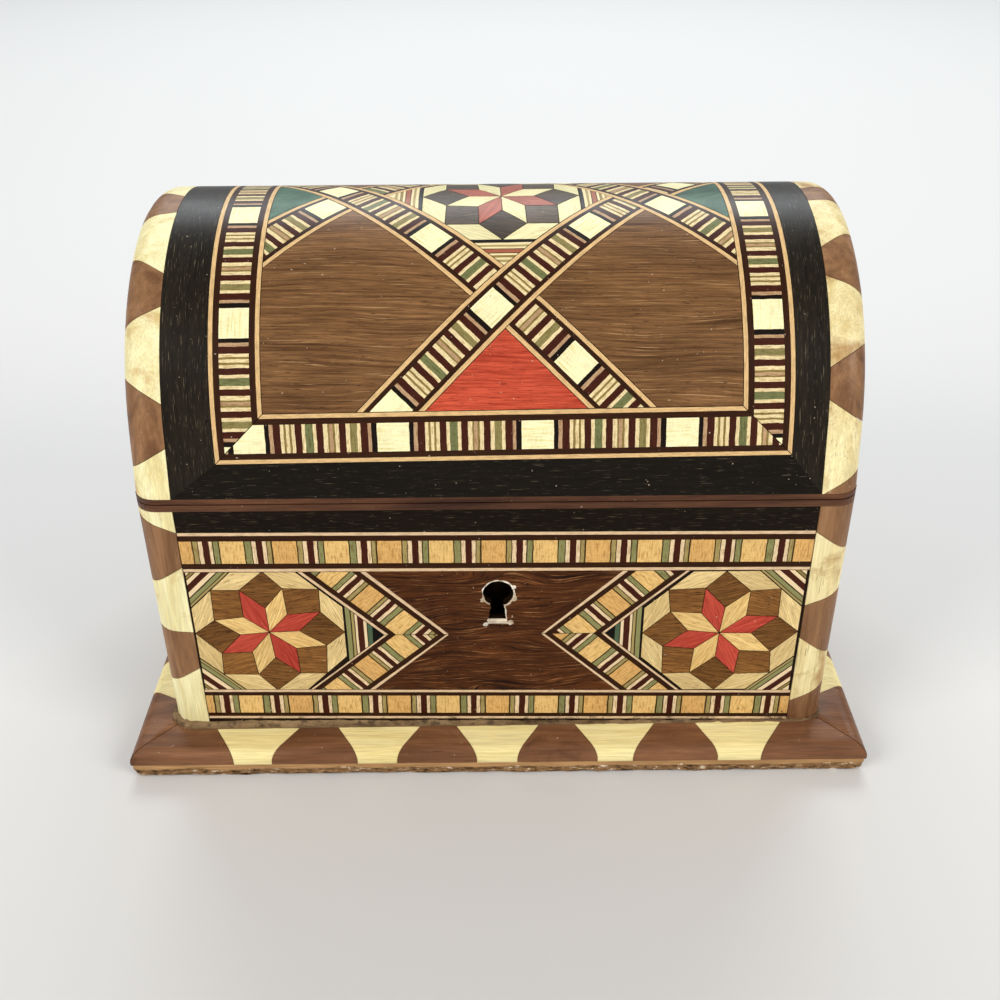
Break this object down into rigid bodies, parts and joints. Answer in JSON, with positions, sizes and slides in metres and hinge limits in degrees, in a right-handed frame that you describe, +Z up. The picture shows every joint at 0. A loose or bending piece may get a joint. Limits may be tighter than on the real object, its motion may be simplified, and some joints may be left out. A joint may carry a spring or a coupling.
{
  "type": "jewelry box",
  "caption": "Rectangular wooden jewelry box with an arched hinged lid, a moulded plinth, geometric star and lattice marquetry, inlaid edge strips and a lock.",
  "frame": {"origin": "on the table, under the middle of the base board", "axes": "+X to the right along the front, +Y from the front to the back, +Z up"},
  "size_m": [0.1594, 0.1058, 0.1121],
  "materials": {
    "plywood": "sanded",
    "carcass_wood": "sanded",
    "marquetry": "satin varnish over inlaid veneers",
    "ebony": "satin varnish over inlaid veneers",
    "strip_inlay": "satin varnish over light and brown inlay blocks",
    "mahogany": "satin varnish",
    "felt": "matt felt",
    "brass": "brushed",
    "steel": "brushed"
  },
  "bodies": {
    "case": {"base_board": "plywood", "plinth_front": "mahogany", "plinth_back": "mahogany", "plinth_left": "mahogany", "plinth_right": "mahogany", "front_wall": "carcass_wood", "back_wall": "carcass_wood", "left_wall": "carcass_wood", "right_wall": "carcass_wood", "front_panel": "marquetry", "back_panel": "marquetry", "left_panel": "marquetry", "right_panel": "marquetry", "corner_strip_front_left": "strip_inlay", "corner_strip_front_right": "strip_inlay", "corner_strip_back_left": "strip_inlay", "corner_strip_back_right": "strip_inlay", "body_lip_front": "mahogany", "body_lip_back": "mahogany", "body_lip_left": "mahogany", "body_lip_right": "mahogany", "floor_lining": "felt", "wall_lining": "felt", "lock_plate": "brass", "lock_case": "steel", "lock_spring": "steel", "hinge_body_leaf_left": "brass", "hinge_body_leaf_right": "brass", "hinge_pin_left": "steel", "hinge_pin_right": "steel", "hinge_body_screw_left_1": "brass", "hinge_body_screw_left_2": "brass", "hinge_body_screw_right_1": "brass", "hinge_body_screw_right_2": "brass"},
    "lid": {"lid_rail_front": "carcass_wood", "lid_rail_back": "carcass_wood", "lid_end_left": "carcass_wood", "lid_end_right": "carcass_wood", "lid_shell": "plywood", "lid_panel_top": "ebony", "lid_panel_left": "marquetry", "lid_panel_right": "marquetry", "lid_edge_strip_left": "strip_inlay", "lid_edge_strip_right": "strip_inlay", "lid_lip_front": "mahogany", "lid_lip_back": "mahogany", "lid_lip_left": "mahogany", "lid_lip_right": "mahogany", "lid_lining": "felt", "lid_end_lining_left": "felt", "lid_end_lining_right": "felt", "lock_catch": "brass", "hinge_lid_leaf_left": "brass", "hinge_lid_leaf_right": "brass", "hinge_lid_screw_left_1": "brass", "hinge_lid_screw_left_2": "brass", "hinge_lid_screw_right_1": "brass", "hinge_lid_screw_right_2": "brass"},
    "bolt": {"lock_bolt": "steel"}
  },
  "joints": [
    {"name": "lid_hinge", "type": "hinge", "parent": "case", "child": "lid", "pos_m": [0, 0.0435, 0.06485], "axis": [-1, 0, 0], "range_deg": [0, 99]},
    {"name": "lock_bolt_slide", "type": "slide", "parent": "case", "child": "bolt", "axis": [1, 0, 0], "range_m": [0, 0.003]}
  ]
}
